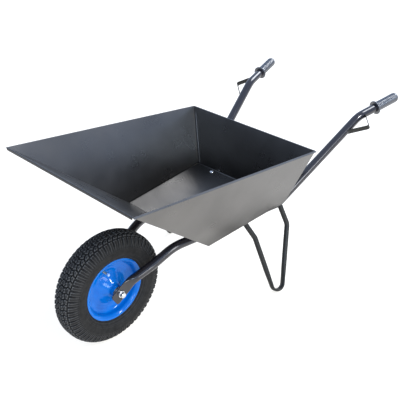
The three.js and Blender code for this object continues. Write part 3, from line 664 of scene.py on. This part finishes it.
def make_grips():
    """Ribbed sleeves with a round flange in front and a domed, closed rear end."""
    flange, sleeve, ribs = 27, 18.4, 15
    crest = sleeve + 0.1
    bore = TUBE_R + 0.2
    start, stop = 12, GRIP_LENGTH - 7
    corners = [(bore, 0), (flange - 1.5, 0), (flange, 2.6), (flange - 1.2, 5.2), (21.5, 6.6), (17.8, 9.5)]
    radii = [0.3, 1.6, 1.6, 1.6, 3, 2]
    pitch = (stop - start) / ribs
    for i in range(ribs):
        foot = start + i * pitch
        corners += [(sleeve - 1.15, foot), (crest, foot + pitch * 0.28), (crest, foot + pitch * 0.72)]
        radii += [0.7, 0.9, 0.9]
    corners += [(sleeve - 0.9, stop + 0.6), (sleeve - 1.2, GRIP_LENGTH - 3), (sleeve - 4, GRIP_LENGTH)]
    corners += [(0.02, GRIP_LENGTH), (0.02, GRIP_LENGTH - 4), (bore, GRIP_LENGTH - 4)]
    radii += [1, 2.5, 2.5, 0, 0, 0]
    outline = fillet_loop(corners, radii, 4)
    axis = np.array([along(100), 0, GRIP_RISE * 100])
    axis = axis / np.linalg.norm(axis)
    rear = np.array([along(GRIP_END - 0.6), 0, grip_height(GRIP_END - 0.6)])
    verts, faces = lathe(outline, 64, rear - axis * GRIP_LENGTH, axis)
    pair("grip", in_side_frame(verts), faces, "frame", GRIP, crease=55)


# ------------------------------------------------------------------ wheel

AXLE_MM = np.array([0, 0, AXLE[2] / MM])
TREAD_PITCHES = 62
TREAD_ROWS = [0, 9, 21, 33, 70]  # edges of the rows of blocks, from the middle outwards
SHOULDER_ROW = 3
TREAD_DEPTH = 5.5
SHOULDER_DEPTH = 5.0
# Rings moulded round the side wall: radius, height and half width.
SIDEWALL_RINGS = [(156, 0.9, 1.6), (152, 0.6, 1.2), (134, 0.8, 1.4), (129.5, 0.8, 1.2), (121, 0.9, 1.4)]


def curve_through(knots, count):
    """An evenly sampled smooth curve through the knots."""
    knots = np.asarray(knots, float)
    padded = np.vstack([2 * knots[0] - knots[1], knots, 2 * knots[-1] - knots[-2]])
    fine = []
    between = np.linspace(0, 1, 24, endpoint=False)
    for a, b, c, d in zip(padded, padded[1:], padded[2:], padded[3:]):
        for t in between:
            fine.append(0.5 * (2 * b + (c - a) * t + (2 * a - 5 * b + 4 * c - d) * t * t
                               + (3 * b - a - 3 * c + d) * t ** 3))
    fine = np.array([*fine, knots[-1]])
    reach = np.concatenate([[0], np.cumsum(np.linalg.norm(np.diff(fine, axis=0), axis=1))])
    even = np.linspace(0, reach[-1], count)
    return np.stack([np.interp(even, reach, column) for column in fine.T], 1)


def groove(distance, half_width, soft=1.1):
    """1 inside a groove and 0 outside it."""
    return 1 - smoothstep(np.abs(distance), half_width - soft / 2, half_width + soft / 2)


def tread_depth(y, radius, way):
    """Depth of the moulded pattern: y across, radius, and way round the tread."""
    pitch = 2 * math.pi * TYRE_R / TREAD_PITCHES
    side = np.abs(y) + 0 * way
    crown = smoothstep(radius, TYRE_R - 13, TYRE_R - 8)
    shoulder = smoothstep(radius, 163, 178)
    depth = np.zeros(side.shape)
    for k, (near, far) in enumerate(zip(TREAD_ROWS, TREAD_ROWS[1:])):
        on_crown = k < SHOULDER_ROW
        stagger = pitch / 2 * (k % 2) + np.where(y < 0, pitch / 4, 0) * (k > 0)
        skew = (0.45 if k % 2 else -0.45) * (side - near) * on_crown
        phase = np.mod(way + stagger + skew, pitch) - pitch / 2
        cut = groove(phase, 2.4 if on_crown else 3.4, 1.6)
        cut = cut * (crown * TREAD_DEPTH if on_crown else shoulder * SHOULDER_DEPTH)
        depth = np.where((side >= near) & (side < far), cut, depth)
    wave = 1.6 * np.sin(way * 2 * math.pi / pitch)
    for edge in TREAD_ROWS[1:SHOULDER_ROW]:
        depth = np.maximum(depth, crown * TREAD_DEPTH * groove(side - edge - wave, 1.9, 1.4))
    depth = np.maximum(depth, crown * 4.5 * groove(side - TREAD_ROWS[SHOULDER_ROW], 1.5, 1.4))
    lug = np.mod(way, pitch / 2) - pitch / 4
    bars = smoothstep(radius, 154, 160) * (1 - smoothstep(radius, 166, 172))
    return depth + groove(lug, 1.8, 1.6) * bars * 1.6


def make_tyre():
    """Block tread, radial shoulder bars and fine rings moulded round the sidewalls."""
    half = [(TYRE_R - 0.4, 0), (TYRE_R, 10), (TYRE_R - 2.6, 23), (TYRE_R - 9.5, 34.5),
            (TYRE_R - 21, 42.5), (163, 46.8), (150, TYRE_HALF - 0.2), (136, 45.4), (123, 39.8),
            (115, 34.6), (110, 31.0), (103, 27.5)]
    knots = [(r, -y) for r, y in reversed(half)] + half[1:]
    across, around = 150, 720
    profile = curve_through(knots, across)
    tangent = unit(np.gradient(profile, axis=0))
    normal = np.stack([tangent[:, 1], -tangent[:, 0]], 1)
    angle = np.arange(around) * 2 * math.pi / around
    radius, y = profile[:, :1], profile[:, 1:]
    depth = tread_depth(y, radius, angle[None] * TYRE_R)
    rings = np.zeros_like(radius)
    for at, height, width in SIDEWALL_RINGS:
        rings = rings - height * groove(radius - at, width, 1.2)
    depth = depth + rings
    lowered = profile[:, None] - normal[:, None] * np.maximum(depth, -0.9)[..., None]
    limit = np.minimum(np.abs(lowered[..., 1]), TYRE_HALF) * np.sign(lowered[..., 1])
    x = lowered[..., 0] * np.cos(angle)
    z = lowered[..., 0] * np.sin(angle)
    verts = np.stack([x, limit, z], -1) + AXLE_MM
    faces = grid_faces(across, around)
    add_piece("tyre_visual", verts.reshape(-1, 3), faces, "wheel", RUBBER, ("tyre",), 60)


def rim_outline():
    """Section of a pressed rim half: rolled flange, bead seat, stepped web and hub cone."""
    face = [(RIM_R - 0.2, RIM_HALF - 3.2), (RIM_R - 0.4, RIM_HALF - 0.6), (RIM_R - 4, RIM_HALF),
            (RIM_R - 8, RIM_HALF - 1.5), (100.5, 27.5), (98.5, 24), (97.5, 11.5), (91, 5.6),
            (84, 5.2), (81, 3.6), (74, 3.4), (71, 2.4), (64, 2.4), (56, 5), (40, 16),
            (28.5, 27), (25.2, 30), (23, 30.4), (20.2, 30.4)]
    back = [(20.2, 27.5), (22.5, 27), (26, 25), (38, 13.6), (54, 3), (60, 0.5), (86, 0.5), (97, 6),
            (100.6, 12), (101, 26), (RIM_R - 7.5, RIM_HALF - 4), (RIM_R - 2.6, RIM_HALF - 2.2),
            (RIM_R - 2.2, RIM_HALF - 4)]
    radii = [0.6, 1.2, 2.5, 3, 3, 2, 4, 3, 1.6, 1.6, 1.6, 1.6, 5, 5, 8, 5, 2, 1, 0.2]
    return fillet_loop([*face, *back], radii + [0.5] * len(back), 6)


def make_rims():
    """Both rim halves, the hub tube through them and a weld where it leaves each half."""
    verts, faces = lathe(rim_outline(), 144)
    pair("rim", verts + AXLE_MM, faces, "wheel", RIM, crease=50)
    bore = 16.3
    hub = [(bore, -HUB_HALF), (HUB_R, -HUB_HALF), (HUB_R, HUB_HALF), (bore, HUB_HALF)]
    verts, faces = lathe(fillet_loop(hub, [0.8] * 4), 64)
    add_piece("hub_tube_visual", verts + AXLE_MM, faces, "wheel", RIM, ("hub_tube",))
    angle = np.linspace(0, 2 * math.pi * 0.985, 60)
    loop = [np.array([math.cos(a) * 21.2, 31.2, math.sin(a) * 21.2]) for a in angle]
    verts, faces = bead(loop, 1.5, 3)
    pair("hub_weld", verts + AXLE_MM, faces, "wheel", RIM, False)


def make_valve():
    """Brass stem with its thread and a ribbed cap, on the barrow's left."""
    lo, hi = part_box("valve_stem")
    middle = np.array([((lo.x + hi.x) / 2 - AXLE[0]) / MM, 0, (lo.z + hi.z) / 2 / MM])
    stem = [(0.02, -24), (3.4, -24), (3.9, -22.6), (3.9, -9), (4.6, -8), (4.6, -1), (0.02, -1)]
    for turn in range(9):
        ridge = -22 + turn * 1.4
        stem[3 + 2 * turn:3 + 2 * turn] = [(3.9, ridge), (3.4, ridge + 0.7)]
    verts, faces = lathe(fillet_loop(stem, [0.2] * len(stem), 3), 40)
    add_piece("valve_stem_visual", verts + middle, faces, "wheel", BRASS, ("valve_stem",))
    cap = [(0.02, -33), (3.2, -33), (5, -31), (5, -25.5), (4.6, -24.3), (0.02, -24.3)]
    outline = fillet_loop(cap, [0, 1, 1, 0.6, 0.2, 0], 4)
    verts, faces = lathe(outline, 72)
    between_ribs = np.cos(np.arctan2(verts[:, 2], verts[:, 0]) * 18) > 0
    flute = 1 - 0.05 * between_ribs * (np.abs(verts[:, 1] + 28) < 3)
    verts = verts * np.stack([flute, np.ones(len(flute)), flute], 1)
    add_piece("valve_cap_visual", verts + middle, faces, "wheel", CAP, ("valve_cap",))


# ------------------------------------------------------------------ fasteners


CHAMFER = 1.4
HEX_SEGMENTS = 72
ROD_SEGMENTS = 36
HEX_SIZE = 18  # across the flats
AXLE_BOLT_R = 6
HEAD_HEIGHT = 7.8


def hex_piece(across_flats, start, end):
    """A hexagon along Y whose corners are turned off at both ends."""
    angle = np.arange(HEX_SEGMENTS) * 2 * math.pi / HEX_SEGMENTS
    flat = across_flats / 2 / np.cos(np.mod(angle, math.pi / 3) - math.pi / 6)
    rim = across_flats / 2
    levels = [(start, rim * 0.97), (start + CHAMFER * 0.5, rim * 1.09), (start + CHAMFER, rim * 1.17),
              (end - CHAMFER, rim * 1.17), (end - CHAMFER * 0.5, rim * 1.09), (end, rim * 0.97)]
    rings = []
    for level, turned in levels:
        r = np.minimum(flat, turned)
        rings.append(np.stack([np.cos(angle) * r, np.full(HEX_SEGMENTS, level), np.sin(angle) * r], 1))
    return ring_mesh(rings)


def threaded_rod(radius, start, end, pitch):
    """A rod along Y with a screw thread cut into it and a chamfered far end."""
    angle = np.arange(ROD_SEGMENTS) * 2 * math.pi / ROD_SEGMENTS
    rings = []
    for level in np.arange(start, end, pitch / 6):
        wave = np.abs(np.mod(level / pitch + angle / (2 * math.pi), 1) - 0.5) * 2
        shrink = 1.2 * max(0, 1 - (end - level) / 1.5)
        r = radius - 0.75 * wave - shrink
        rings.append(np.stack([np.cos(angle) * r, np.full(ROD_SEGMENTS, level), np.sin(angle) * r], 1))
    return ring_mesh(rings)


def washer(inner, outer, start, end):
    """A flat ring along Y with softened edges."""
    outline = [(inner, start), (outer, start), (outer, end), (inner, end)]
    return lathe(fillet_loop(outline, [0.5] * 4), 64)


def make_axle_fasteners():
    """Hexagon head on the right, nut and thread end on the left, a washer at each fork."""
    def reach(node, sign):
        lo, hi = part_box(node)
        return sorted((sign * lo.y / MM, sign * hi.y / MM))

    def add(name, verts, faces, replaces=(), crease=40):
        add_piece(name, verts + AXLE_MM, faces, "frame", ZINC, replaces, crease)

    near, far = reach("axle_nut", -1)
    verts, faces = hex_piece(HEX_SIZE, near, far)
    add("axle_nut_visual", mirror(verts, -1), faces, ("axle_nut",), 30)
    end = -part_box("axle_bolt")[0].y / MM
    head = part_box("axle_bolt")[1].y / MM
    verts, faces = threaded_rod(AXLE_BOLT_R, far - 8, end, 1.75)
    add("axle_thread_end", mirror(verts, -1), faces, (), 60)
    verts, faces = hex_piece(HEX_SIZE, head - HEAD_HEIGHT, head)
    add("axle_bolt_visual", verts, faces, ("axle_bolt",), 30)
    left, right = 2 - near, head - 8
    shank = [(0.02, left), (AXLE_BOLT_R, left), (AXLE_BOLT_R, right), (0.02, right)]
    verts, faces = lathe(shank, 40)
    add("axle_shank_visual", verts, faces)
    near, far = reach("axle_washer_right", 1)
    verts, faces = washer(6.3, 12, near, far)
    pair("axle_washer", verts + AXLE_MM, faces, "frame", ZINC)


def make_tray_fasteners():
    """Domed bolt heads on the tray floor and the threads of the bolts below it."""
    base = FLOOR_TOP + 0.3
    head_r = 8.7
    dome = [(0.02, base - 0.2), (8.8, base - 0.2), (head_r, base + 0.8)]
    dome += [(head_r * math.cos(a), base + 0.8 + 4.0 * math.sin(a)) for a in np.linspace(0.2, 1.45, 9)]
    dome.append((0.02, base + 4.8))
    centre = np.array([BOLT_X, BOLT_Y, 0])
    verts, faces = lathe(dome, 64, centre, (0, 0, 1))
    pair("tray_bolt", verts, faces, "frame", ZINC)
    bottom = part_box("tray_bolt_left")[0].z / MM
    upright = np.array([[1, 0, 0], [0, 0, 1], [0, -1, 0]])
    verts, faces = threaded_rod(4, -(base - 1), -bottom, 1.25)
    verts = verts @ upright.T + centre
    pair("tray_bolt_thread", verts, faces, "frame", ZINC, False, 60)


# ------------------------------------------------------------------ tray details


def tray_half(x, z):
    """Half width of the tray's inside, which widens rearwards and upwards."""
    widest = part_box("tray_pan")[1].y / MM
    front_corner, rearwards, upwards = 200.8, 0.0467, 0.356
    return min(widest, front_corner + rearwards * (x - FLOOR_FRONT) + upwards * (z - FLOOR_BEND))


def back_wall_x(z):
    """Inner face of the leaning back wall at a height."""
    return FLOOR_BACK + (BACK_RIM_X - FLOOR_BACK) / (BACK_RIM - FLOOR_BEND) * (z - FLOOR_BEND)


def make_seams():
    """Welded flaps of the side sheets on the inside of the back wall."""
    section = ((0.5, 0.2), (0.5, 2.2), (7.8, 2.2), (8.7, 1.5), (8.9, 0.2))  # inset, lift
    rows = []
    for z in np.linspace(FLOOR_TOP + 3, BACK_RIM - 20, 40):
        x = back_wall_x(z)
        rows.append([(x - lift, tray_half(x, z) - inset, z) for inset, lift in section])
    verts, faces = ring_mesh(rows)
    pair("tray_seam", verts, faces, "frame", SHEET, False)


# ------------------------------------------------------------------ carried-over CAD nodes


def dress(names, material, bevel):
    """Gives CAD nodes their material and softened edges."""
    for name in names:
        node = frame["nodes"][name]
        node.data.materials.clear()
        node.data.materials.append(material)
        weld = node.modifiers.new("weld", "WELD")
        weld.merge_threshold = 0.00002
        soften = node.modifiers.new("soften", "BEVEL")
        soften.width = bevel
        soften.segments = 2
        soften.limit_method = "ANGLE"
        soften.angle_limit = math.radians(30)
        soften.harden_normals = True


def dress_frame():
    """Finishes the CAD nodes that are shown as they are."""
    dress(["tray_pan", "tray_side_left", "tray_side_right"], SHEET, 0.0003)
    dress(["cross_bar_front", "cross_bar_rear"], FRAME_PAINT, 0.0006)
    dress([f"{kind}_{side}" for kind in ("tray_washer", "tray_nut") for side in SIDES], ZINC, 0.0003)
    dress(["axle_sleeve", *(f"axle_spacer_{side}" for side in SIDES)], ZINC, 0.0003)
    races = [f"bearing_{ring}_race_{side}" for ring in ("inner", "outer") for side in SIDES]
    dress(races, STEEL, 0.0003)


# ------------------------------------------------------------------ stage, light, camera


GROUND_PALE = (0.38, 0.365, 0.34)
GROUND_DULL = (0.36, 0.345, 0.32)
GROUND_GLOW = (1, 0.97, 0.91, 1)
GROUND_REACH = 30.0
GROUND_DROP = 0.0005
SKY_BLUE = (0.66, 0.82, 1.15, 1)
COOL = (0.68, 0.87, 1.12)
NEARLY_WHITE = (0.96, 1.0, 1.06)
WHITE = (1, 1, 1)
LIGHTS_AIM = (0, 0, 0.3)


def make_stage():
    """A wide, pale floor with a glow of its own."""
    n = Nodes("floor_visual")
    cloud = n.noise(0.8, 3)
    colour = n.mix(cloud, GROUND_PALE, GROUND_DULL)
    material = n.finish(colour, n.spread(cloud, 0, 1, 0.75, 0.85), Specular_IOR_Level=0.1,
                        Emission_Color=GROUND_GLOW, Emission_Strength=0.78)
    mesh = bpy.data.meshes.new("floor")
    steps = 9
    line = np.linspace(-GROUND_REACH, GROUND_REACH, steps)
    verts = [(x, y, -GROUND_DROP) for x in line for y in line]
    mesh.from_pydata(verts, [], grid_faces(steps, steps, wrap_columns=False))
    mesh.materials.append(material)
    floor = bpy.data.objects.new("floor", mesh)
    bpy.context.scene.collection.objects.link(floor)


def area_light(name, position, size, power, colour):
    """A rectangular panel that faces the middle of the barrow."""
    data = bpy.data.lights.new(name, "AREA")
    data.shape = "RECTANGLE"
    data.size, data.size_y = size
    data.energy = power
    data.color = colour
    lamp = bpy.data.objects.new(name, data)
    lamp.location = position
    lamp.rotation_mode = "QUATERNION"
    lamp.rotation_quaternion = (Vector(LIGHTS_AIM) - Vector(position)).to_track_quat("-Z", "Y")
    bpy.context.scene.collection.objects.link(lamp)


def sky_light(name, towards, angle, power, colour):
    """A wide, soft sun that shines from the direction towards."""
    data = bpy.data.lights.new(name, "SUN")
    data.angle = angle
    data.energy = power
    data.color = colour
    lamp = bpy.data.objects.new(name, data)
    lamp.rotation_mode = "QUATERNION"
    lamp.rotation_quaternion = Vector(towards).to_track_quat("Z", "Y")
    bpy.context.scene.collection.objects.link(lamp)


def make_lights():
    """A pale blue sky, a wide sun and three panels on the barrow's left."""
    world = bpy.data.worlds.new("studio")
    world.use_nodes = True
    backdrop = world.node_tree.nodes["Background"]
    backdrop.inputs["Color"].default_value = SKY_BLUE
    backdrop.inputs["Strength"].default_value = 1.0
    bpy.context.scene.world = world
    area_light("key", position=(0.8, -3.1, 2.9), size=(0.6, 0.6), power=75, colour=WHITE)
    area_light("fill", position=(-2.9, -4.5, 2.2), size=(1.6, 1.6), power=100, colour=COOL)
    area_light("side", position=(-0.4, -4.4, 1.5), size=(0.9, 2.4), power=50, colour=WHITE)
    sky_light("sky_panel", towards=(0.7, -0.2, 0.84), angle=math.radians(30), power=2.5,
              colour=NEARLY_WHITE)


CAMERA_AT = Vector((-1.51305, -1.49823, 1.63102))
CAMERA_YAW = -0.76912
CAMERA_PITCH = 0.56062
CAMERA_ROLL = -0.0489
LENS_MM = 61.115
LENS_SHIFT = (-0.0026, 0.0007)


def make_camera():
    """Looks down at the barrow from ahead of the wheel on its left side."""
    forward = Vector((-math.sin(CAMERA_YAW) * math.cos(CAMERA_PITCH),
                      math.cos(CAMERA_YAW) * math.cos(CAMERA_PITCH), -math.sin(CAMERA_PITCH)))
    level = Vector((math.cos(CAMERA_YAW), math.sin(CAMERA_YAW), 0))
    above = level.cross(forward)
    right = level * math.cos(CAMERA_ROLL) + above * math.sin(CAMERA_ROLL)
    up = above * math.cos(CAMERA_ROLL) - level * math.sin(CAMERA_ROLL)
    data = bpy.data.cameras.new("camera")
    data.lens = LENS_MM
    data.sensor_width = 36
    data.shift_x, data.shift_y = LENS_SHIFT
    data.clip_end = 100
    camera = bpy.data.objects.new("camera", data)
    turn = Matrix((right, up, -forward)).transposed().to_4x4()
    camera.matrix_world = Matrix.Translation(CAMERA_AT) @ turn
    bpy.context.scene.collection.objects.link(camera)
    bpy.context.scene.camera = camera


# ------------------------------------------------------------------ everything

make_camera()
make_stage()
make_lights()
dress_frame()
make_tubes()
make_legs()
make_leg_welds()
make_guards()
make_grips()
make_tyre()
make_rims()
make_valve()
make_axle_fasteners()
make_tray_fasteners()
make_seams()
bpy.context.scene.view_settings.view_transform = "Standard"
